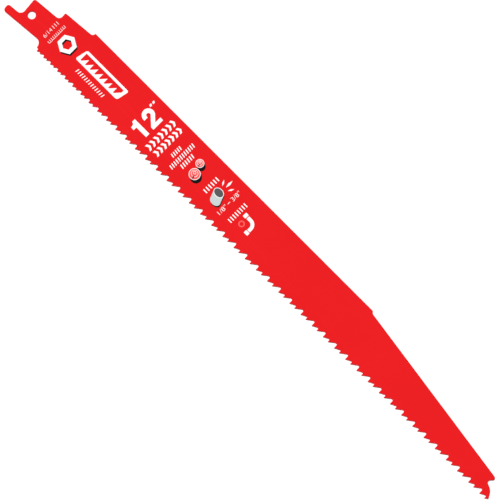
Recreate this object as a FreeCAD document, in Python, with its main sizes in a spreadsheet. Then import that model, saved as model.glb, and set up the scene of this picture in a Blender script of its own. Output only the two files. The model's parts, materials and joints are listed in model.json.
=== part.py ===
import FreeCAD, Part
import Sketcher
import math
import os

# Reciprocating saw blade, 305 mm overall: a canted half inch tang with a hook tongue, a
# stepped back, a nick and a taper behind a slotted plunge nose, and saw teeth in pairs
# whose pitch grows away from the tang and whose tips are set to either side.
#
# The origin is the centre of the tang hole at mid thickness. X runs along the tooth line
# towards the nose, Y towards the back of the blade, Z out of its face. The tang is drawn
# in its own axes, turned by the cant angle about the same origin.

# Lengths are in millimetres and angles in degrees.
DRIVING_SIZES = (
    ("thickness", 1.27, "thickness of the strip"),
    ("cant_angle", 5.0, "angle of the tang to the tooth line"),
    ("tang_width", 12.7, "width of the tang, front edge to back edge"),
    ("hole_diameter", 3.6, "hole that the saw's clamp pin enters"),
    ("shank_end", 3.64, "hole centre to the end face of the tang"),
    ("tongue_length", 7.56, "reach of the tongue past the end face"),
    ("tongue_width", 3.5, "width of the tongue along the front edge"),
    ("tongue_radius", 1.2, "corners of the tongue"),
    ("notch_radius", 2.3, "corner between the tongue and the end face"),
    ("shank_radius", 1.1, "back corner of the end face"),
    ("shoulder_reach", 10.85, "hole centre to the two shoulders"),
    ("throat_radius", 2.8, "corner between the front edge and the front shoulder"),
    ("shoulder_radius", 2.0, "corner between the back edge and the back shoulder"),
    ("shoulder_crest_radius", 0.65, "top of the back shoulder"),
    ("step_reach", 26.9, "hole centre to the step behind the shoulder"),
    ("step_height", 1.55, "rise from the shoulder's ledge to the back"),
    ("step_radius", 1.45, "corner at the foot of the step"),
    ("back_height", 14.17, "hole centre to the back of the blade"),
    ("tooth_drop", 9.6, "hole centre to the tooth line"),
    ("nick_reach", 199.56, "hole centre to the nick in the back"),
    ("nick_depth", 0.99, "depth of the nick, cut at 45 degrees"),
    ("nose_reach", 292.7, "hole centre to the crest of the nose"),
    ("nose_height", 10.19, "tooth line to the tapered back above the slot"),
    ("lip_height", 3.83, "tapered back to the root of the nose slot"),
    ("lip_radius", 1.0, "rounded lip over the slot"),
    ("slot_depth", 4.43, "crest of the nose to the root of the slot"),
    ("slot_angle", 45.0, "upper flank of the slot"),
    ("slot_radius", 1.15, "root of the slot"),
    ("hook_angle", 22.8, "lower flank of the slot"),
    ("crest_radius", 4.4, "rounded crest of the nose"),
    ("end_angle", 60.0, "end face of the nose"),
    ("nose_radius", 0.4, "corner between the end face and the last tooth"),
    ("pair_pitch", 7.007, "pitch of a pair of teeth over the working length"),
    ("first_pair_pitch", 4.015, "pitch of the pair next to the tang"),
    ("pitch_growth", 0.2, "growth of the pitch from pair to pair"),
    ("first_tooth_gap", 0.99, "front shoulder to the first tooth"),
    ("first_tooth_depth", 1.15, "depth of the step before the first tooth"),
    ("short_share", 0.445, "share of the pitch between the teeth of a pair"),
    ("first_relief", 26.6, "relief angle of the first tooth of a pair"),
    ("second_relief", 36.5, "relief angle of the second tooth of a pair"),
    ("short_gullet_radius", 0.5, "root of the gullet within a pair"),
    ("deep_gullet_radius", 0.75, "root of the gullet between pairs"),
    ("tip_height", 0.45, "length of each tip that is bent to its side"),
    ("tip_set", 0.2, "how far each tip stands out past the face"),
)

# Places that follow from the driving sizes. Names in "along" and "across" are in the
# tang's axes, and names in x and y are in the blade's axes.
WORKED_OUT = (
    ("set_y", "sizes.tip_height - sizes.tooth_drop"),
    ("front_x", "(sizes.shoulder_reach - set_y * sin(sizes.cant_angle)) / cos(sizes.cant_angle)"),
    ("front_across", "(set_y - sizes.shoulder_reach * sin(sizes.cant_angle)) / cos(sizes.cant_angle)"),
    ("step_x", "(sizes.step_reach - sizes.back_height * sin(sizes.cant_angle)) / cos(sizes.cant_angle)"),
    ("step_across", "(sizes.back_height - sizes.step_reach * sin(sizes.cant_angle)) / cos(sizes.cant_angle)"),
    ("ledge_across", "step_across - sizes.step_height"),
    ("ledge_end_x", "sizes.step_reach * cos(sizes.cant_angle) - ledge_across * sin(sizes.cant_angle)"),
    ("ledge_end_y", "sizes.step_reach * sin(sizes.cant_angle) + ledge_across * cos(sizes.cant_angle)"),
    ("nick_x", "sizes.nick_reach + sizes.nick_depth"),
    ("nick_y", "sizes.back_height - sizes.nick_depth"),
    ("slot_x", "sizes.nose_reach - sizes.slot_depth"),
    ("slot_top_y", "sizes.nose_height - sizes.tooth_drop"),
    ("slot_y", "slot_top_y - sizes.lip_height"),
    ("taper_slope", "(nick_y - slot_top_y) / (slot_x - nick_x)"),
    ("lip_x", "slot_x + sizes.lip_height / (tan(sizes.slot_angle) + taper_slope)"),
    ("lip_y", "slot_y + (lip_x - slot_x) * tan(sizes.slot_angle)"),
    ("crest_y", "slot_y - sizes.slot_depth * tan(sizes.hook_angle)"),
    ("foot_x", "sizes.nose_reach + (crest_y - set_y) / tan(sizes.end_angle)"),
    ("front_rise", "-front_across - sizes.tang_width / 2"),
    ("back_rise", "ledge_across - sizes.tang_width / 2"),
)

# A fillet takes its own radius, or a share of the wall beside it where that is less.
WALL_SHARE = 0.95
FOOT_SHARE = 0.7
CREST_SHARE = 0.25

# How far a cutting sketch runs past the edge that it cuts.
CLEAR_OF_EDGE = 1.0

# Places and lengths that differ by less than this are the same.
NEAR = 0.001


def fill_row(sheet, row, alias, content, note=""):
    """One line of a sheet: the name, the value under its alias, and what it measures."""
    sheet.set(f"A{row}", alias)
    sheet.set(f"B{row}", content)
    sheet.setAlias(f"B{row}", alias)
    sheet.set(f"C{row}", note)


def make_sizes(doc):
    """The sheet of driving sizes, as plain numbers."""
    sheet = doc.addObject("Spreadsheet::Sheet", "sizes")
    for row, (alias, value, note) in enumerate(DRIVING_SIZES, start=1):
        fill_row(sheet, row, alias, str(value), note)
    return sheet


def make_places(doc):
    """The sheet of places that are worked out from the driving sizes."""
    sheet = doc.addObject("Spreadsheet::Sheet", "places")
    for row, (alias, formula) in enumerate(WORKED_OUT, start=1):
        fill_row(sheet, row, alias, "=" + formula)
    return sheet


def new_sketch(body, name):
    """A sketch on the plane of the blade's mid thickness."""
    sketch = body.newObject("Sketcher::SketchObject", name)
    for plane in body.Origin.OriginFeatures:
        if plane.Role == "XY_Plane":
            sketch.AttachmentSupport = [(plane, "")]
    sketch.MapMode = "FlatFace"
    return sketch


def turn_sketch(sketch, axis, angle_formula):
    """Turns a sketch about an axis of its own by the angle that the formula gives."""
    one_degree = FreeCAD.Rotation(axis, 1)
    sketch.AttachmentOffset = FreeCAD.Placement(FreeCAD.Vector(), one_degree)
    sketch.setExpression("AttachmentOffset.Rotation.Angle", angle_formula)


def draw_outline(sketch, corners):
    """A closed outline of straight edges with each corner bound to its two formulas."""
    points = [FreeCAD.Vector(float(sketch.evalExpression(across)), float(sketch.evalExpression(up)))
              for across, up in corners]
    count = len(points)
    for number in range(count):
        sketch.addGeometry(Part.LineSegment(points[number], points[(number + 1) % count]))
    for number in range(count):
        sketch.addConstraint(Sketcher.Constraint("Coincident", number, 2, (number + 1) % count, 1))
    for number, formulas in enumerate(corners):
        values = (points[number].x, points[number].y)
        for kind, value, formula in zip(("DistanceX", "DistanceY"), values, formulas):
            index = sketch.addConstraint(Sketcher.Constraint(kind, number, 1, value))
            sketch.setExpression(f"Constraints[{index}]", formula)


def pad_through(body, sketch, name):
    """A pad of the strip's thickness, half to each side of the sketch."""
    pad = body.newObject("PartDesign::Pad", name)
    pad.Profile = sketch
    pad.Midplane = True
    pad.setExpression("Length", "sizes.thickness")
    return pad


def pocket_through(body, sketch, name):
    """A cut right through the strip and past both of its faces."""
    pocket = body.newObject("PartDesign::Pocket", name)
    pocket.Profile = sketch
    pocket.Midplane = True
    pocket.setExpression("Length", "2 * sizes.thickness")
    return pocket


def make_tang(body):
    """The tang with its tongue, both shoulders and the ledge up to the step."""
    sketch = new_sketch(body, "tang_outline")
    turn_sketch(sketch, FreeCAD.Vector(0, 0, 1), "sizes.cant_angle")
    tongue_end = "-(sizes.shank_end + sizes.tongue_length)"
    front = "-sizes.tang_width / 2"
    back = "sizes.tang_width / 2"
    tongue_back = "sizes.tongue_width - sizes.tang_width / 2"
    draw_outline(sketch, (
        (tongue_end, front),
        ("sizes.shoulder_reach", front),
        ("sizes.shoulder_reach", "places.front_across"),
        ("sizes.step_reach", "places.front_across"),
        ("sizes.step_reach", "places.ledge_across"),
        ("sizes.shoulder_reach", "places.ledge_across"),
        ("sizes.shoulder_reach", back),
        ("-sizes.shank_end", back),
        ("-sizes.shank_end", tongue_back),
        (tongue_end, tongue_back),
    ))
    return pad_through(body, sketch, "tang")


def make_strip(body):
    """The strip from the step to the nose, down to the line that the tips are bent along."""
    sketch = new_sketch(body, "strip_outline")
    draw_outline(sketch, (
        ("places.front_x", "places.set_y"),
        ("places.foot_x", "places.set_y"),
        ("sizes.nose_reach", "places.crest_y"),
        ("places.slot_x", "places.slot_y"),
        ("places.lip_x", "places.lip_y"),
        ("places.nick_x", "places.nick_y"),
        ("sizes.nick_reach", "sizes.back_height"),
        ("places.step_x", "sizes.back_height"),
        ("places.ledge_end_x", "places.ledge_end_y"),
    ))
    return pad_through(body, sketch, "strip")


def in_blade_axes(sizes, along, across):
    """A point of the tang's axes, given in the blade's axes."""
    cant = math.radians(sizes.cant_angle)
    x = along * math.cos(cant) - across * math.sin(cant)
    y = along * math.sin(cant) + across * math.cos(cant)
    return x, y


def corner_edges(feature, corners):
    """The edges through the thickness that stand at the given corners of the outline."""
    names = []
    for corner in corners:
        spot = FreeCAD.Vector(corner[0], corner[1], 0)
        for number, edge in enumerate(feature.Shape.Edges, start=1):
            upright = abs(edge.BoundBox.ZLength - edge.Length) < NEAR
            if upright and edge.distToShape(Part.Vertex(spot))[0] < NEAR:
                names.append(f"Edge{number}")
    if len(names) != len(corners):
        raise RuntimeError(f"{feature.Name} has {len(names)} of {len(corners)} corners to round")
    return names


def round_corners(doc, body, name, radius_formula, corners):
    """A fillet of one radius on the given corners of the body's last feature."""
    base = body.Tip
    fillet = body.newObject("PartDesign::Fillet", name)
    fillet.Base = (base, corner_edges(base, corners))
    fillet.setExpression("Radius", radius_formula)
    doc.recompute()
    return fillet


def round_tang(doc, body, sizes, places):
    """The rounded corners of the tang, its shoulders and the step."""
    tongue_end = -(sizes.shank_end + sizes.tongue_length)
    half = sizes.tang_width / 2
    tongue_back = sizes.tongue_width - half
    shoulder = sizes.shoulder_reach
    low = f"{FOOT_SHARE} * places.back_rise"
    top = f"{CREST_SHARE} * places.back_rise"
    corners = (
        ("tongue_corners", "sizes.tongue_radius", ((tongue_end, -half), (tongue_end, tongue_back))),
        ("notch_corner", "sizes.notch_radius", ((-sizes.shank_end, tongue_back),)),
        ("shank_corner", "sizes.shank_radius", ((-sizes.shank_end, half),)),
        ("throat", f"min(sizes.throat_radius; {WALL_SHARE} * places.front_rise)",
         ((shoulder, -half),)),
        ("shoulder_foot", f"min(sizes.shoulder_radius; {low})", ((shoulder, half),)),
        ("shoulder_crest", f"min(sizes.shoulder_crest_radius; {top})",
         ((shoulder, places.ledge_across),)),
        ("step_foot", f"min(sizes.step_radius; {WALL_SHARE} * sizes.step_height)",
         ((sizes.step_reach, places.ledge_across),)),
    )
    for name, radius, spots in corners:
        turned = [in_blade_axes(sizes, along, across) for along, across in spots]
        round_corners(doc, body, name, radius, turned)


def round_nose(doc, body, sizes, places):
    """The rounded lip, slot root and crest of the nose."""
    round_corners(doc, body, "lip", "sizes.lip_radius", ((places.lip_x, places.lip_y),))
    round_corners(doc, body, "slot_root", "sizes.slot_radius", ((places.slot_x, places.slot_y),))
    round_corners(doc, body, "crest", "sizes.crest_radius", ((sizes.nose_reach, places.crest_y),))


def make_hole(body, sizes):
    """The tang hole, round the origin."""
    sketch = new_sketch(body, "hole_outline")
    out_of_face = FreeCAD.Vector(0, 0, 1)
    sketch.addGeometry(Part.Circle(FreeCAD.Vector(), out_of_face, sizes.hole_diameter / 2))
    sketch.addConstraint(Sketcher.Constraint("Coincident", 0, 3, -1, 1))
    diameter = sketch.addConstraint(Sketcher.Constraint("Diameter", 0, sizes.hole_diameter))
    sketch.setExpression(f"Constraints[{diameter}]", "sizes.hole_diameter")
    return pocket_through(body, sketch, "tang_hole")


class Tooth:
    """One tooth: where its rake face stands, its relief slope and the gullet behind it."""

    def __init__(self, rake_x, relief_angle, gullet_radius):
        self.rake_x = rake_x
        self.slope = math.tan(math.radians(relief_angle))
        self.gullet_radius = gullet_radius

    def relief_y(self, x, tip_y):
        """The height of the relief face at a place along the blade."""
        return tip_y + self.slope * (x - self.rake_x)


def tooth_row(sizes, places):
    """The teeth from the tang to the nose, as long as a whole tip fits on the strip."""
    teeth = []
    rake_x = places.front_x + sizes.first_tooth_gap
    pitch = sizes.first_pair_pitch
    while True:
        pair = (
            Tooth(rake_x, sizes.first_relief, sizes.short_gullet_radius),
            Tooth(rake_x + sizes.short_share * pitch, sizes.second_relief, sizes.deep_gullet_radius),
        )
        for tooth in pair:
            if tooth.rake_x + sizes.tip_height / tooth.slope > places.foot_x:
                return teeth
            teeth.append(tooth)
        rake_x += pitch
        pitch = min(pitch + sizes.pitch_growth, sizes.pair_pitch)


def gullet_arc(tooth, next_rake_x, tip_y):
    """The arc that joins a relief face to the next rake face."""
    radius = tooth.gullet_radius
    lean = math.atan(tooth.slope)
    centre_x = next_rake_x - radius
    centre_y = tooth.relief_y(centre_x, tip_y) - radius / math.cos(lean)
    circle = Part.Circle(FreeCAD.Vector(centre_x, centre_y), FreeCAD.Vector(0, 0, 1), radius)
    return Part.ArcOfCircle(circle, 0, math.pi / 2 + lean)


def make_gullets(body, sizes, places, teeth):
    """The gullets, cut as one comb with a straight rake, a round root and a relief each."""
    tip_y = -sizes.tooth_drop
    radius = sizes.short_gullet_radius
    step_y = tip_y + sizes.first_tooth_depth
    first_x = teeth[0].rake_x
    circle = Part.Circle(FreeCAD.Vector(first_x - radius, step_y - radius),
                         FreeCAD.Vector(0, 0, 1), radius)
    start = FreeCAD.Vector(places.front_x - CLEAR_OF_EDGE, step_y)
    edges = [Part.LineSegment(start, FreeCAD.Vector(first_x - radius, step_y))]
    arc = Part.ArcOfCircle(circle, 0, math.pi / 2)
    edges.append(arc)
    for tooth, following in zip(teeth, teeth[1:]):
        tip = FreeCAD.Vector(tooth.rake_x, tip_y)
        edges.append(Part.LineSegment(arc.StartPoint, tip))
        arc = gullet_arc(tooth, following.rake_x, tip_y)
        edges.append(Part.LineSegment(tip, arc.EndPoint))
        edges.append(arc)
    last = teeth[-1]
    tip = FreeCAD.Vector(last.rake_x, tip_y)
    past_x = places.foot_x + CLEAR_OF_EDGE
    past = FreeCAD.Vector(past_x, last.relief_y(past_x, tip_y))
    low_y = tip_y - CLEAR_OF_EDGE
    edges.append(Part.LineSegment(arc.StartPoint, tip))
    edges.append(Part.LineSegment(tip, past))
    below = [past, FreeCAD.Vector(past_x, low_y), FreeCAD.Vector(start.x, low_y), start]
    for near, far in zip(below, below[1:]):
        edges.append(Part.LineSegment(near, far))
    sketch = new_sketch(body, "gullet_comb")
    sketch.addGeometry(edges)
    return pocket_through(body, sketch, "gullets")


def make_tips(body, sizes, teeth, name, side):
    """The bent tips of one side: triangles on a plane that leans about the set line."""
    sketch = new_sketch(body, name + "_outline")
    turn_sketch(sketch, FreeCAD.Vector(-side, 0, 0), "atan(sizes.tip_set / sizes.tip_height)")
    sketch.setExpression("AttachmentOffset.Base.y", "places.set_y")
    length = math.hypot(sizes.tip_set, sizes.tip_height)
    edges = []
    for tooth in teeth:
        root = FreeCAD.Vector(tooth.rake_x, 0)
        tip = FreeCAD.Vector(tooth.rake_x, -length)
        heel = FreeCAD.Vector(tooth.rake_x + sizes.tip_height / tooth.slope, 0)
        edges += [Part.LineSegment(root, tip), Part.LineSegment(tip, heel), Part.LineSegment(heel, root)]
    sketch.addGeometry(edges)
    pad = pad_through(body, sketch, name)
    pad.UseCustomVector = True
    pad.AlongSketchNormal = False
    pad.Direction = FreeCAD.Vector(0, 0, 1)
    return pad


def round_end(doc, body, sizes, places, last):
    """The small corner where the relief of the last tooth meets the end of the nose."""
    tip_y = -sizes.tooth_drop
    end_slope = math.tan(math.radians(sizes.end_angle))
    height = places.crest_y - last.relief_y(sizes.nose_reach, tip_y)
    x = sizes.nose_reach + height / (end_slope + last.slope)
    corner = (x, last.relief_y(x, tip_y))
    return round_corners(doc, body, "nose_corner", "sizes.nose_radius", (corner,))


def check(doc):
    """Stops with a plain message if a feature failed or the solid isn't sound."""
    for thing in doc.Objects:
        if "Invalid" in thing.State or "Error" in thing.State:
            raise RuntimeError(f"{thing.Name} could not be made")
    for body in doc.findObjects("PartDesign::Body"):
        if body.Shape.isNull() or not body.Shape.isValid() or len(body.Shape.Solids) != 1:
            raise RuntimeError(f"{body.Label} isn't one sound solid")


def make_blade(doc, sizes, places):
    """The whole blade, as one body."""
    body = doc.addObject("PartDesign::Body", "blade")
    body.Label = "blade"
    make_tang(body)
    make_strip(body)
    doc.recompute()
    round_tang(doc, body, sizes, places)
    round_nose(doc, body, sizes, places)
    make_hole(body, sizes)
    teeth = tooth_row(sizes, places)
    make_gullets(body, sizes, places, teeth)
    doc.recompute()
    round_end(doc, body, sizes, places, teeth[-1])
    make_tips(body, sizes, teeth[0::2], "tips_left", 1)
    make_tips(body, sizes, teeth[1::2], "tips_right", -1)
    doc.recompute()
    body.Placement = FreeCAD.Placement()
    return body


def main():
    doc = FreeCAD.newDocument("reciprocating_saw_blade")
    sizes = make_sizes(doc)
    places = make_places(doc)
    doc.recompute()
    body = make_blade(doc, sizes, places)
    check(doc)
    os.makedirs("parts", exist_ok=True)
    body.Shape.exportStep(f"parts/{body.Label}.step")
    box = body.Shape.BoundBox
    print(f"{body.Label}: {box.XLength:.2f} by {box.YLength:.2f} by {box.ZLength:.2f} mm, "
          f"{body.Shape.Volume:.1f} cubic mm, {len(body.Shape.Faces)} faces")


main()
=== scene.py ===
import json
from contextlib import contextmanager
from math import cos, pi, radians, sin

import bpy
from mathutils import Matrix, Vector


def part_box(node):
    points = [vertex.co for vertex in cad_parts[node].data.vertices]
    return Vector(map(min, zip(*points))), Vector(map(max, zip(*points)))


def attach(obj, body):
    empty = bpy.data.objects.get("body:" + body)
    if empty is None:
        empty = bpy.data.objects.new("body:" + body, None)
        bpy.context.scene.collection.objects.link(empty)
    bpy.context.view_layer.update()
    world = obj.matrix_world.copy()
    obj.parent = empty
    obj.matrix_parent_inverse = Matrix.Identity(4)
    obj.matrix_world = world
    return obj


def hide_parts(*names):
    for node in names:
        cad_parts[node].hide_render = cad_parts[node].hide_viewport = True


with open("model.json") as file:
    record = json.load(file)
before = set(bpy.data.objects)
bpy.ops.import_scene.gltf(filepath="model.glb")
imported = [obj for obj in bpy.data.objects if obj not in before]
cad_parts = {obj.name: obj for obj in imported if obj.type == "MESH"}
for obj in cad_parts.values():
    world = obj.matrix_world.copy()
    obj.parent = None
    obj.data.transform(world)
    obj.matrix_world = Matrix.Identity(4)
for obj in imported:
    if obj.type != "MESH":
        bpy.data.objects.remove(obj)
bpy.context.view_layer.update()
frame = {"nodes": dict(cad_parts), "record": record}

# A coated reciprocating saw blade with its screen print, flat on white studio paper.
#
# Blender's lengths are metres. Sizes here are millimetres, and MM or MICRON turns them into
# metres where they reach Blender. X runs from the tang to the nose, Y from the teeth to the
# back, Z out of the printed face, all from the middle of the tang hole.

MM = 0.001
MICRON = 0.000001


def mount_place(name):
    """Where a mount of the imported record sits, in metres."""
    for mount in frame["record"]["mounts"]:
        if mount["name"] == name:
            return Vector(mount["pos_m"])
    raise ValueError("the record has no mount " + name)


# The blade, as the frame gives it: its printed face, and the table that its tips touch.
BLADE = "blade"
ROOT = "root"
FACE = mount_place("tang_left_face").z
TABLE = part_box(BLADE)[0].z
PAPER_GAP = 2 * MICRON

# The soft edges of the coated strip. Past the tang hole, all that lies under the floor of the
# gullets belongs to the teeth and keeps its ground edges.
GULLET_FLOOR = -6.9
EDGE_ROUND = 0.09
EDGE_STEPS = 3

# What counts as one plane, as a sharp edge, as a straight line and as one place.
SAME_PLANE = radians(0.4)
SHARP = radians(30)
STRAIGHT = radians(0.5)
SAME_PLACE = 0.001

# The ink. Each film is sunk a little into the coating, and a next colour lies on the first.
INK_SUNK = 4 * MICRON
INK_PROUD = 12 * MICRON
NEXT_FILM = 5 * MICRON

# Print that crosses the blade reads from the teeth to the back. The rest reads along it.
ACROSS = radians(90)
ALONG = 0.0

# A disc with this many sides is a diamond.
DIAMOND = 4

# The figures of the blade's length are drawn one by one. The rest are set in plain type.
TYPE_STEPS = 8
BOWL_TURN = radians(212)
BOWL_STEPS = 20

# The camera stands straight above the blade, turned by the photograph's angle. The lens and
# the sensor are in millimetres.
FRAME_MIDDLE = Vector((142.03 * MM, -5.24 * MM, FACE))
FRAME_WIDTH = 221.63
PHOTO_TURN = radians(44.985)
LENS = 500.0
SENSOR = 36.0

# The studio, in metres. The key light is high, and small enough to leave a thin dark line
# along the lower edges. It stays out of the gloss, which comes from the side softbox.
ROOM_LIGHT = 0.1
ROOM_SEEN = 1.0
KEY_BEARING = radians(150)
KEY_HEIGHT = radians(75)
KEY_SPREAD = radians(5.0)
KEY_STRENGTH = 3.345
SIDE_BEARING = radians(215)
SIDE_HEIGHT = radians(30)
SIDE_SIZE = 2.0
SIDE_WATTS = 20.0
LIGHT_DISTANCE = 4.0
PAPER_SIZE = 24.0

# The numbers of a Mix node's colour sockets, whose names stand on other sockets too.
MIX_FIRST = 6
MIX_SECOND = 7
MIX_RESULT = 2


# Finishes

class Value:
    """A node's output that is added, multiplied and so on as a number is."""

    def __init__(self, finish, socket):
        self.finish = finish
        self.socket = socket

    def maths(self, operation, first, second):
        return self.finish.node("Math", {"operation": operation}, {0: first, 1: second})

    def __add__(self, other):
        return self.maths("ADD", self, other)

    def __radd__(self, other):
        return self.maths("ADD", other, self)

    def __sub__(self, other):
        return self.maths("SUBTRACT", self, other)

    def __mul__(self, other):
        return self.maths("MULTIPLY", self, other)

    def __rmul__(self, other):
        return self.maths("MULTIPLY", other, self)


class Finish:
    """A material with its nodes. Its patterns are laid on the piece's own place in space."""

    def __init__(self, name, **constants):
        self.material = bpy.data.materials.new(name)
        self.material.use_nodes = True
        self.tree = self.material.node_tree
        self.shader = self.tree.nodes["Principled BSDF"]
        for socket, number in constants.items():
            self.shader.inputs[socket.replace("_", " ")].default_value = number
        self.place = self.node("TexCoord", output="Object")

    def node(self, kind, settings=None, sockets=None, output=0):
        """Adds a node. Settings come first, because they can change which sockets it has."""
        node = self.tree.nodes.new("ShaderNode" + kind)
        for setting, choice in (settings or {}).items():
            setattr(node, setting, choice)
        for socket, source in (sockets or {}).items():
            self.feed(node.inputs[socket], source)
        return Value(self, node.outputs[output])

    def feed(self, socket, source):
        """Links a value to a socket, or sets the socket to a number or a colour."""
        if isinstance(source, Value):
            self.tree.links.new(source.socket, socket)
        else:
            socket.default_value = source

    def noise(self, grain, detail):
        """A soft random pattern from 0 to 1, whose lumps are about grain millimetres wide."""
        sockets = {"Vector": self.place, "Scale": 1 / (grain * MM), "Detail": detail}
        return self.node("TexNoise", None, sockets)

    def between(self, share, first, second):
        """The colour that lies a share of the way from the first colour to the second."""
        sockets = {"Factor": share, MIX_FIRST: (*first, 1.0), MIX_SECOND: (*second, 1.0)}
        return self.node("Mix", {"data_type": "RGBA"}, sockets, output=MIX_RESULT)

    def bump(self, height, depth, under=None):
        """A relief of this depth in metres, on top of another relief if one is given."""
        sockets = {"Height": height, "Strength": 1.0, "Distance": depth}
        if under:
            sockets["Normal"] = under
        return self.node("Bump", None, sockets)

    def set(self, **sources):
        """Feeds the shader's sockets and gives the finished material."""
        for socket, source in sources.items():
            self.feed(self.shader.inputs[socket.replace("_", " ")], source)
        return self.material


def coating_finish():
    """Smooth satin coating, sprayed on steel strip, with a fine orange peel."""
    finish = Finish("red_coating", Specular_IOR_Level=0.3)
    cloud = finish.noise(grain=38, detail=3.0)
    peel = finish.noise(grain=0.9, detail=1.0)
    speck = finish.noise(grain=0.16, detail=2.0)
    thin, full = (0.71, 0.0099, 0.0119), (0.755, 0.0124, 0.0149)
    contrast, offset = 1.3, 0.15
    gloss, cloud_dulls, speck_dulls = 0.36, 0.06, 0.05
    peel_depth, speck_depth = 3 * MICRON, 0.5 * MICRON
    return finish.set(
        Base_Color=finish.between(cloud * contrast - offset, thin, full),
        Roughness=gloss + cloud_dulls * cloud + speck_dulls * speck,
        Normal=finish.bump(speck, speck_depth, under=finish.bump(peel, peel_depth)),
    )


def ink_finish(name, full, thin):
    """Screen-printed ink: dull, slightly uneven, a little thinner in places."""
    finish = Finish(name, Specular_IOR_Level=0.2)
    wash = finish.noise(grain=2.4, detail=4.0)
    grain = finish.noise(grain=0.09, detail=2.0)
    gloss, grain_dulls, grain_depth = 0.5, 0.12, 1.2 * MICRON
    return finish.set(
        Base_Color=finish.between(wash * grain, full, thin),
        Roughness=gloss + grain_dulls * grain,
        Normal=finish.bump(grain, grain_depth),
    )


def paper_finish():
    """Plain white studio paper."""
    finish = Finish("studio_paper", Specular_IOR_Level=0.0, Roughness=0.9)
    fibre = finish.noise(grain=1.5, detail=2.0)
    dull, bright = (0.955, 0.955, 0.955), (0.965, 0.965, 0.965)
    return finish.set(Base_Color=finish.between(fibre, dull, bright))


RED = coating_finish()
WHITE = ink_finish("white_ink", full=(0.945, 0.945, 0.94), thin=(0.9, 0.86, 0.855))
PINK = ink_finish("white_ink_tint", full=(0.87, 0.12, 0.116), thin=(0.85, 0.09, 0.087))
SILVER = ink_finish("light_grey_ink", full=(0.53, 0.6, 0.6), thin=(0.58, 0.57, 0.57))
STEEL_GREY = ink_finish("dark_grey_ink", full=(0.088, 0.092, 0.096), thin=(0.12, 0.1, 0.1))
BLACK = ink_finish("black_ink", full=(0.006, 0.006, 0.0065), thin=(0.012, 0.011, 0.011))


# Workshop habits

def take(piece):
    """Selects one piece and nothing else, as an operator acts on all that is selected."""
    bpy.ops.object.select_all(action="DESELECT")
    piece.select_set(True)
    bpy.context.view_layer.objects.active = piece


@contextmanager
def editing(piece, wanted=None, kind="VERT"):
    """Edit mode on one piece, with all of it selected or the places that pass a test."""
    take(piece)
    bpy.ops.object.mode_set(mode="EDIT")
    bpy.ops.mesh.select_mode(type=kind)
    if wanted:
        bpy.ops.mesh.select_all(action="DESELECT")
        bpy.ops.object.mode_set(mode="OBJECT")
        for vertex in piece.data.vertices:
            vertex.select = wanted(vertex.co / MM)
        bpy.ops.object.mode_set(mode="EDIT")
    else:
        bpy.ops.mesh.select_all(action="SELECT")
    yield
    bpy.ops.object.mode_set(mode="OBJECT")


def move(x, y):
    """Moves what is selected in edit mode."""
    bpy.ops.transform.translate(value=(x * MM, y * MM, 0))


def pull(x, y):
    """Draws new faces out of the edges that are selected in edit mode."""
    bpy.ops.mesh.extrude_region_move(TRANSFORM_OT_translate={"value": (x * MM, y * MM, 0)})


def cut_level(height):
    """Cuts a shape in edit mode along a level line."""
    bpy.ops.mesh.select_all(action="SELECT")
    bpy.ops.mesh.bisect(plane_co=(0, height * MM, 0), plane_no=(0, 1, 0))


def merge():
    """Joins the points of a shape that lie in one place."""
    bpy.ops.mesh.select_all(action="SELECT")
    bpy.ops.mesh.remove_doubles(threshold=MICRON)


def nudge(piece, old, new):
    """Moves the point at one place of a flat shape to another place."""
    spot = Vector((*old, 0))
    with editing(piece, lambda at: (at - spot).length < SAME_PLACE):
        move(new[0] - old[0], new[1] - old[1])


def repeat(piece, count, step):
    """Copies a shape in a row, inside its own mesh."""
    take(piece)
    row = piece.modifiers.new("row", "ARRAY")
    row.count = count
    row.use_relative_offset = False
    row.use_constant_offset = True
    row.constant_offset_displace = (step * MM, 0, 0)
    bpy.ops.object.modifier_apply(modifier=row.name)


# Flat shapes, drawn with their lower left corner or their middle at the origin

def flat_block(width, height, lean=0.0, rounding=0.0, steps=3):
    """A block that leans to the right at its top, with its corners rounded."""
    bpy.ops.object.select_all(action="DESELECT")
    bpy.ops.mesh.primitive_plane_add(size=MM, location=(0, 0, 0))
    block = bpy.context.active_object
    with editing(block):
        move(0.5, 0.5)
        bpy.ops.transform.resize(value=(width, height, 1), center_override=(0, 0, 0))
    if lean:
        with editing(block, lambda at: at.y > height / 2):
            move(lean, 0)
    if rounding:
        with editing(block):
            bpy.ops.mesh.bevel(
                affect="VERTICES", offset_type="OFFSET", offset=rounding * MM, segments=steps
            )
    return block


def flat_disc(radius, sides, squash=1.0):
    """A disc, or a polygon with few sides, that is squashed to an oval or a diamond."""
    bpy.ops.object.select_all(action="DESELECT")
    bpy.ops.mesh.primitive_circle_add(
        vertices=sides, radius=radius * MM, fill_type="NGON", location=(0, 0, 0)
    )
    disc = bpy.context.active_object
    with editing(disc):
        bpy.ops.transform.resize(value=(1, squash, 1), center_override=(0, 0, 0))
    return disc


def flat_ring(radius, sides, wall, squash=1.0):
    """A disc with its middle cut out, so that a ring of this wall is left."""
    ring = flat_disc(radius, sides, squash)
    with editing(ring, kind="FACE"):
        bpy.ops.mesh.inset(thickness=wall * MM)
        bpy.ops.mesh.delete(type="FACE")
    return ring


def flat_chevron(thick, height, point):
    """An arrow head that points to the right and is open at its back."""
    middle = height / 2
    arrow = flat_block(thick, height)
    with editing(arrow):
        cut_level(middle)
    with editing(arrow, lambda at: abs(at.y - middle) < SAME_PLACE):
        move(point, 0)
    return arrow


def flat_saw_edge(pitch, count, band, depth, tip):
    """A saw's edge in outline: a plain band with a row of blunt teeth under it."""
    edge = flat_block(pitch, band + depth)
    with editing(edge):
        cut_level(depth)
    nudge(edge, (pitch, 0), (tip, 0))
    repeat(edge, count, pitch)
    with editing(edge):
        merge()
    return edge


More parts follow.
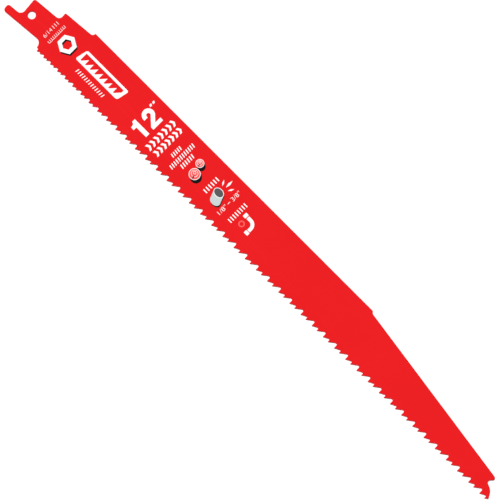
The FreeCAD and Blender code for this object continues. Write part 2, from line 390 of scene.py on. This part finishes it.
def flat_one(width, height, stem, flag):
    """A heavy figure one: a stem with a flag on its left, near level and then steep."""
    top_share, slope_share, chamfer_share = 0.36, 0.11, 0.22
    stem_left = width - stem
    flag_foot = height - flag
    flag_top = height - top_share * flag
    flag_slope = slope_share * flag
    chamfer = chamfer_share * stem
    one = flat_block(stem, height)
    with editing(one):
        move(stem_left, 0)
        cut_level(flag_foot)
        cut_level(flag_top)
    left_of_middle = stem_left + stem / 2
    flag_middle = (flag_foot + flag_top) / 2
    reach = flag_top - flag_middle + SAME_PLACE
    with editing(one, lambda at: at.x < left_of_middle and abs(at.y - flag_middle) < reach):
        pull(-stem_left, 0)
    nudge(one, (0, flag_top), (0, flag_top - flag_slope))
    nudge(one, (stem_left, height), (stem_left + chamfer, height))
    return one


def flat_two(width, height, stroke, foot):
    """A heavy figure two: a bowl spun round its middle, a slanted neck and a level foot."""
    stub, heel_share, toe_share = 0.5, 1.42, 0.85
    outer = width / 2
    inner = outer - stroke
    rise = height - outer
    heel = heel_share * stroke
    toe = toe_share * foot
    two = flat_block(stroke, stub)
    with editing(two):
        move(0, rise - stub)
    with editing(two, lambda at: at.y > rise - stub / 2):
        centre = (outer * MM, rise * MM, 0)
        bpy.ops.mesh.spin(steps=BOWL_STEPS, angle=BOWL_TURN, center=centre, axis=(0, 0, 1))
        pull(0, -stub)
    end = pi - BOWL_TURN
    bowl_outside = (outer + outer * cos(end), rise + outer * sin(end) - stub)
    bowl_inside = (outer + inner * cos(end), rise + inner * sin(end) - stub)
    nudge(two, bowl_outside, (heel, foot))
    nudge(two, bowl_inside, (0, toe))
    with editing(two, lambda at: at.y < foot + SAME_PLACE):
        pull(0, -foot / 2)
    nudge(two, (heel, foot / 2), (heel, 0))
    nudge(two, (0, toe - foot / 2), (0, 0))
    with editing(two, lambda at: abs(at.x - heel) < SAME_PLACE and at.y < foot + SAME_PLACE):
        pull(width - heel, 0)
        merge()
    return two


def flat_elbow(leg, bore, bend, drop, steps=12):
    """A bent tube from the side: a level leg, a quarter turn to the right and a drop."""
    quarter = radians(90)
    elbow = flat_block(leg, bore)
    with editing(elbow, lambda at: at.x > leg / 2):
        centre = (leg * MM, -bend * MM, 0)
        bpy.ops.mesh.spin(steps=steps, angle=quarter, center=centre, axis=(0, 0, 1))
        pull(0, -drop)
        merge()
    return elbow


def flat_figures(figures, width, height, weight):
    """Plain figures that fill a box. A weight under 0 draws them lighter."""
    bpy.ops.object.select_all(action="DESELECT")
    bpy.ops.object.text_add(location=(0, 0, 0))
    line = bpy.context.active_object
    line.data.body = figures
    line.data.size = 1.0
    line.data.offset = weight
    line.data.space_character = 1.0 + weight
    line.data.fill_mode = "FRONT"
    line.data.resolution_u = TYPE_STEPS
    bpy.ops.object.convert(target="MESH")
    line = bpy.context.active_object
    xs = [vertex.co.x for vertex in line.data.vertices]
    ys = [vertex.co.y for vertex in line.data.vertices]
    wider = width * MM / (max(xs) - min(xs))
    taller = height * MM / (max(ys) - min(ys))
    with editing(line):
        bpy.ops.transform.translate(value=(-min(xs), -min(ys), 0))
        bpy.ops.transform.resize(value=(wider, taller, 1), center_override=(0, 0, 0))
        bpy.ops.mesh.select_all(action="SELECT")
        bpy.ops.mesh.dissolve_limited(angle_limit=STRAIGHT)
        merge()
    return line


# From a flat shape to print

def thicken(shape, film=0):
    """Gives a flat shape the thickness of its ink, from under the face to its top."""
    top = INK_PROUD + film * NEXT_FILM
    down = {"value": (0, 0, -top - INK_SUNK)}
    with editing(shape):
        bpy.ops.transform.translate(value=(0, 0, top))
        bpy.ops.mesh.extrude_region_move(TRANSFORM_OT_translate=down)
        bpy.ops.mesh.select_all(action="SELECT")
        bpy.ops.mesh.normals_make_consistent(inside=False)


def lay_down(piece, corner, turn):
    """Puts a piece that is drawn at the origin at its x and y on the blade's face."""
    take(piece)
    piece.rotation_euler.z = turn
    piece.location = (corner[0] * MM, corner[1] * MM, FACE)
    bpy.ops.object.transform_apply(location=True, rotation=True, scale=True)


def finish_print(piece, name, ink):
    """Names the piece, inks it and makes it ride with the blade."""
    take(piece)
    bpy.ops.object.shade_flat()
    piece.name = name
    piece.data.name = name
    piece.data.materials.clear()
    piece.data.materials.append(ink)
    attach(piece, ROOT)


def print_shape(shape, name, ink, corner, turn=ALONG, film=0):
    """Prints a flat shape on the blade, with its origin at the corner."""
    thicken(shape, film)
    lay_down(shape, corner, turn)
    finish_print(shape, name, ink)


# The blade

def dress_blade():
    """The strip in its coating, soft along the rims of both faces and sharp at the teeth."""
    node = frame["nodes"][BLADE]
    coated = node.copy()
    coated.data = node.data.copy()
    bpy.context.scene.collection.objects.link(coated)
    # The copy isn't the node itself, so it drops the node's own tags.
    for key in list(coated.keys()):
        del coated[key]
    coated.name = "coated_blade"
    coated.data.name = "coated_blade"
    coated.hide_render = False
    with editing(coated, kind="EDGE"):
        merge()
        bpy.ops.mesh.select_all(action="SELECT")
        bpy.ops.mesh.dissolve_limited(angle_limit=SAME_PLANE)
        bpy.ops.mesh.select_all(action="DESELECT")
        bpy.ops.mesh.edges_select_sharp(sharpness=SHARP)
    keep_teeth_sharp(coated.data)
    bpy.ops.object.mode_set(mode="EDIT")
    bpy.ops.mesh.bevel(
        affect="EDGES", offset_type="OFFSET", offset=EDGE_ROUND * MM, segments=EDGE_STEPS,
        clamp_overlap=True,
    )
    bpy.ops.object.mode_set(mode="OBJECT")
    bpy.ops.object.shade_smooth_by_angle(angle=SHARP)
    coated.data.materials.clear()
    coated.data.materials.append(RED)
    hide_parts(BLADE)
    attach(coated, ROOT)


def keep_teeth_sharp(mesh):
    """Leaves selected only the level edges that lie before the teeth or above the gullets."""
    for edge in mesh.edges:
        ends = [mesh.vertices[corner].co / MM for corner in edge.vertices]
        level = abs(ends[0].z - ends[1].z) < SAME_PLACE
        past_the_hole = ends[0].x > 0
        if not level or past_the_hole and min(end.y for end in ends) < GULLET_FLOOR:
            edge.select = False
    for vertex in mesh.vertices:
        vertex.select = False
    for polygon in mesh.polygons:
        polygon.select = False


# The print

def dash_line(name, count, pitch, width, height, corner, turn=ACROSS, lean=0.0):
    """A line of dashes, in the scale of a line of print."""
    line = flat_block(width, height, lean, rounding=0.1)
    repeat(line, count, pitch)
    print_shape(line, name, WHITE, corner, turn)


def figure_line(name, figures, width, height, corner, weight):
    """Plain figures that read across the blade."""
    print_shape(flat_figures(figures, width, height, weight), name, WHITE, corner, ACROSS)


def tooth_count():
    """How many teeth an inch has, from the coarsest to the finest, and three dashes."""
    baseline, height = 11.4, 1.75
    figure_line(
        "tooth_count", "6/14", width=4.8, height=height, corner=(baseline, -3.0), weight=-0.016,
    )
    dash_line(
        "tooth_count_dashes", count=3, pitch=1.3, width=0.22, height=height,
        corner=(baseline, 2.9),
    )


def millimetre_scale():
    """Eleven ticks, a millimetre apart, on a thin rule that overlaps their feet."""
    tick_width, tick_height, tick_foot = 0.18, 1.25, 14.4
    rule_height, rule_foot = 0.14, 14.5
    last_tick, first_y = 10.0, -3.33
    ticks = flat_block(tick_width, tick_height)
    repeat(ticks, count=11, step=1.0)
    print_shape(ticks, "scale_ticks", WHITE, corner=(tick_foot, first_y), turn=ACROSS)
    rule = flat_block(last_tick + tick_width, rule_height)
    print_shape(rule, "scale_rule", WHITE, corner=(rule_foot, first_y), turn=ACROSS, film=1)


def hexagon_nut():
    """A nut in outline with a black shadow."""
    radius, sides, wall = 4.45, 6, 1.75
    x, y = 20.3, 1.9
    shadow_x, shadow_y = x + 0.85, y - 0.3
    shadow = flat_ring(radius, sides, wall)
    print_shape(shadow, "nut_shadow", BLACK, corner=(shadow_x, shadow_y))
    outline = flat_ring(radius, sides, wall)
    print_shape(outline, "nut_outline", WHITE, corner=(x, y), film=1)


def tooth_panel():
    """A leaning white panel with a saw's edge left open in it, so that the coating shows."""
    margin_left, margin_below, through = 2.05, 1.15, 3
    opening = flat_saw_edge(pitch=2.9, count=8, band=1.35, depth=2.6, tip=0.56)
    with editing(opening):
        move(margin_left, margin_below)
    thicken(opening, film=3)
    with editing(opening):
        bpy.ops.transform.resize(value=(1, 1, through), center_override=(0, 0, 0))
    panel = flat_block(width=25.9, height=6.3, lean=1.4, rounding=0.95, steps=5)
    thicken(panel)
    take(panel)
    cut = panel.modifiers.new("open", "BOOLEAN")
    cut.operation = "DIFFERENCE"
    cut.solver = "EXACT"
    cut.object = opening
    bpy.ops.object.modifier_apply(modifier=cut.name)
    bpy.data.objects.remove(opening)
    lay_down(panel, corner=(27.2, 0.1), turn=ALONG)
    finish_print(panel, "panel", WHITE)
    dash_line(
        "panel_dashes", count=13, pitch=1.32, width=0.42, height=1.8,
        corner=(31.3, -4.0), turn=ALONG, lean=0.35,
    )


def length_number():
    """The blade's length in inches, with the inch mark."""
    height, baseline = 9.16, 74.08
    one = flat_one(width=3.75, height=height, stem=2.1, flag=3.1)
    print_shape(one, "length_one", WHITE, corner=(baseline, -4.07), turn=ACROSS)
    two = flat_two(width=6.0, height=height, stroke=2.0, foot=1.7)
    print_shape(two, "length_two", WHITE, corner=(baseline, 2.22), turn=ACROSS)
    inch = flat_block(width=1.1, height=1.0, lean=0.35, rounding=0.1)
    repeat(inch, count=2, step=1.8)
    print_shape(inch, "inch_mark", WHITE, corner=(66.0, 8.31), turn=ACROSS)


def chevron_line(name, pitch, height, corner):
    """A bold line of arrow heads that point to the back of the blade."""
    line = flat_chevron(thick=1.1, height=height, point=0.9)
    repeat(line, count=7, step=pitch)
    print_shape(line, name, WHITE, corner, ACROSS)


def use_lines():
    """Two bold lines and three fine ones."""
    chevron_line("chevrons_upper", pitch=2.5, height=3.26, corner=(79.8, -5.65))
    chevron_line("chevrons_lower", pitch=2.38, height=3.06, corner=(84.0, -5.15))
    dash_line(
        "fine_dashes_upper", count=5, pitch=1.2, width=0.5, height=2.0,
        corner=(89.2, -0.37), lean=0.3,
    )
    dash_line(
        "fine_dashes_middle", count=12, pitch=1.25, width=0.5, height=2.15,
        corner=(92.5, -4.46), lean=0.3,
    )
    dash_line(
        "fine_dashes_lower", count=6, pitch=1.32, width=0.54, height=2.15,
        corner=(95.7, -0.86), lean=0.3,
    )


def log_end(name, radius, x, y):
    """A round log from its end: rim, year rings off the middle, a crack and black bark."""
    sides = 40
    bark_x, bark_y = x + 1.5, y - 0.65
    wood_radius = 0.95 * radius
    crack_radius, crack_squash = 0.45 * radius, 0.26
    crack_bearing, crack_reach = radians(290), 0.55 * radius
    crack_x = x + crack_reach * cos(crack_bearing)
    crack_y = y + crack_reach * sin(crack_bearing)
    bark = flat_disc(radius, sides)
    print_shape(bark, name + "_bark", BLACK, corner=(bark_x, bark_y))
    wood = flat_disc(wood_radius, sides)
    print_shape(wood, name + "_wood", PINK, corner=(x, y), film=1)
    for part, size, wall, drift in (
        ("_rim", radius, 0.25, 0.0),
        ("_ring", 0.6 * radius, 0.17, 0.08 * radius),
        ("_heart", 0.26 * radius, 0.18, 0.17 * radius),
    ):
        ring = flat_ring(size, sides, wall)
        print_shape(ring, name + part, WHITE, corner=(x - drift, y + drift), film=2)
    crack = flat_disc(crack_radius, DIAMOND, crack_squash)
    print_shape(crack, name + "_crack", BLACK, (crack_x, crack_y), turn=crack_bearing, film=3)


def timber_sign():
    """Two logs, seen from their ends."""
    log_end("wide_log", radius=2.65, x=100.9, y=1.2)
    log_end("slim_log", radius=1.95, x=99.2, y=6.2)


def metal_sign():
    """A piece of tube with its shadow, three sparks off it, and a line of dashes."""
    radius, sides, squash = 2.6, 36, 0.75
    bore_radius, rim_wall, spark_squash = 2.4, 0.26, 0.27
    mouth, shadow_mouth = (114.3, 2.9), (114.9, 2.6)
    end_x, end_y = 1.4, -3.6
    tangent = squash ** 2 * end_x / -end_y
    for name, ink, corner, film in (
        ("tube_shadow", BLACK, shadow_mouth, 0),
        ("tube_side", SILVER, mouth, 1),
    ):
        side = flat_disc(radius, sides, squash)
        with editing(side, lambda at: at.y < tangent * at.x):
            move(end_x, end_y)
        print_shape(side, name, ink, corner, film=film)
    bore = flat_disc(bore_radius, sides, squash)
    print_shape(bore, "tube_bore", STEEL_GREY, mouth, film=2)
    rim = flat_ring(radius, sides, rim_wall, squash)
    print_shape(rim, "tube_rim", WHITE, mouth, film=3)
    for name, size, corner, lean in (
        ("spark_left", 1.5, (112.6, 7.4), 30),
        ("spark_middle", 2.1, (114.9, 8.9), 0),
        ("spark_right", 1.5, (117.3, 7.6), -30),
    ):
        spark = flat_disc(size, DIAMOND, spark_squash)
        print_shape(spark, name, WHITE, corner, ACROSS + radians(lean))
    dash_line("metal_dashes", count=6, pitch=1.5, width=0.55, height=2.25, corner=(110.7, -1.1))


def thickness_range():
    """The thickness, in inches, that the blade is made to cut."""
    baseline, middle_line = 121.7, 120.8
    width, height, weight = 4.9, 2.05, -0.012
    figure_line("thickness_low", '1/8"', width, height, (baseline, -3.75), weight)
    figure_line("thickness_high", '3/8"', width, height, (baseline, 4.75), weight)
    dash = flat_block(width=1.5, height=0.24, rounding=0.08)
    print_shape(dash, "thickness_dash", WHITE, corner=(middle_line, 2.1), turn=ACROSS)


def pipe_sign():
    """A pipe elbow with a collar on each end, its sealing ring and a line of dashes."""
    dash_line("pipe_dashes", count=8, pitch=1.4, width=0.5, height=2.25, corner=(127.7, -2.7))
    elbow = flat_elbow(leg=1.8, bore=1.65, bend=1.8, drop=1.4)
    print_shape(elbow, "elbow", WHITE, corner=(131.2, 3.4))
    left_collar = flat_block(width=1.65, height=2.15, rounding=0.2)
    print_shape(left_collar, "elbow_left_collar", WHITE, corner=(129.1, 3.15))
    lower_collar = flat_block(width=2.15, height=1.55, rounding=0.2)
    print_shape(lower_collar, "elbow_lower_collar", WHITE, corner=(134.55, -1.7))
    seal = flat_ring(radius=1.5, sides=32, wall=0.6)
    print_shape(seal, "sealing_ring", PINK, corner=(131.2, 0.3))


def print_everything():
    """All the print, from the tang to the nose."""
    tooth_count()
    millimetre_scale()
    hexagon_nut()
    tooth_panel()
    length_number()
    use_lines()
    timber_sign()
    metal_sign()
    thickness_range()
    pipe_sign()


# The studio

def light(name, kind, bearing, height):
    """A light that looks at the blade. Its bearing is counted from +X towards +Y."""
    lamp = bpy.data.lights.new(name, kind)
    stand = bpy.data.objects.new(name, lamp)
    bpy.context.scene.collection.objects.link(stand)
    away = Vector((cos(bearing) * cos(height), sin(bearing) * cos(height), sin(height)))
    stand.location = FRAME_MIDDLE + away * LIGHT_DISTANCE
    stand.rotation_euler = away.to_track_quat("Z", "Y").to_euler()
    return stand


def light_studio():
    """A high key light, a big softbox to the side, and a dim room that looks white."""
    key = light("key_light", "SUN", KEY_BEARING, KEY_HEIGHT)
    key.data.angle = KEY_SPREAD
    key.data.energy = KEY_STRENGTH
    key.visible_glossy = False
    side = light("side_softbox", "AREA", SIDE_BEARING, SIDE_HEIGHT)
    side.data.shape = "SQUARE"
    side.data.size = SIDE_SIZE
    side.data.energy = SIDE_WATTS
    world = bpy.data.worlds.new("studio")
    bpy.context.scene.world = world
    world.use_nodes = True
    tree = world.node_tree
    room = tree.nodes["Background"]
    room.inputs["Color"].default_value = (1.0, 1.0, 1.0, 1.0)
    room.inputs["Strength"].default_value = ROOM_LIGHT
    seen = tree.nodes.new("ShaderNodeBackground")
    seen.inputs["Strength"].default_value = ROOM_SEEN
    path = tree.nodes.new("ShaderNodeLightPath")
    either = tree.nodes.new("ShaderNodeMixShader")
    tree.links.new(path.outputs["Is Camera Ray"], either.inputs["Fac"])
    tree.links.new(room.outputs[0], either.inputs[1])
    tree.links.new(seen.outputs[0], either.inputs[2])
    tree.links.new(either.outputs[0], tree.nodes["World Output"].inputs["Surface"])


def lay_paper():
    """The white paper that the blade lies on."""
    bpy.ops.object.select_all(action="DESELECT")
    bpy.ops.mesh.primitive_plane_add(size=PAPER_SIZE, location=(0, 0, 0))
    paper = bpy.context.active_object
    paper.name = "paper"
    paper.data.materials.append(paper_finish())
    paper.location = (FRAME_MIDDLE.x, FRAME_MIDDLE.y, TABLE - PAPER_GAP)


def set_camera():
    """A long lens, so that the face shows with next to no perspective."""
    camera = bpy.data.cameras.new("camera")
    camera.lens = LENS
    camera.sensor_width = SENSOR
    camera.sensor_fit = "HORIZONTAL"
    stand = bpy.data.objects.new("camera", camera)
    bpy.context.scene.collection.objects.link(stand)
    distance = FRAME_WIDTH * MM * LENS / SENSOR
    stand.location = FRAME_MIDDLE + Vector((0, 0, distance))
    stand.rotation_euler = (0, 0, PHOTO_TURN)
    bpy.context.scene.camera = stand


def plain_colours():
    """White paper stays white: the picture is shown with no film look."""
    view = bpy.context.scene.view_settings
    view.view_transform = "Standard"
    view.look = "None"
    view.exposure = 0.0
    view.gamma = 1.0


dress_blade()
print_everything()
light_studio()
lay_paper()
set_camera()
plain_colours()
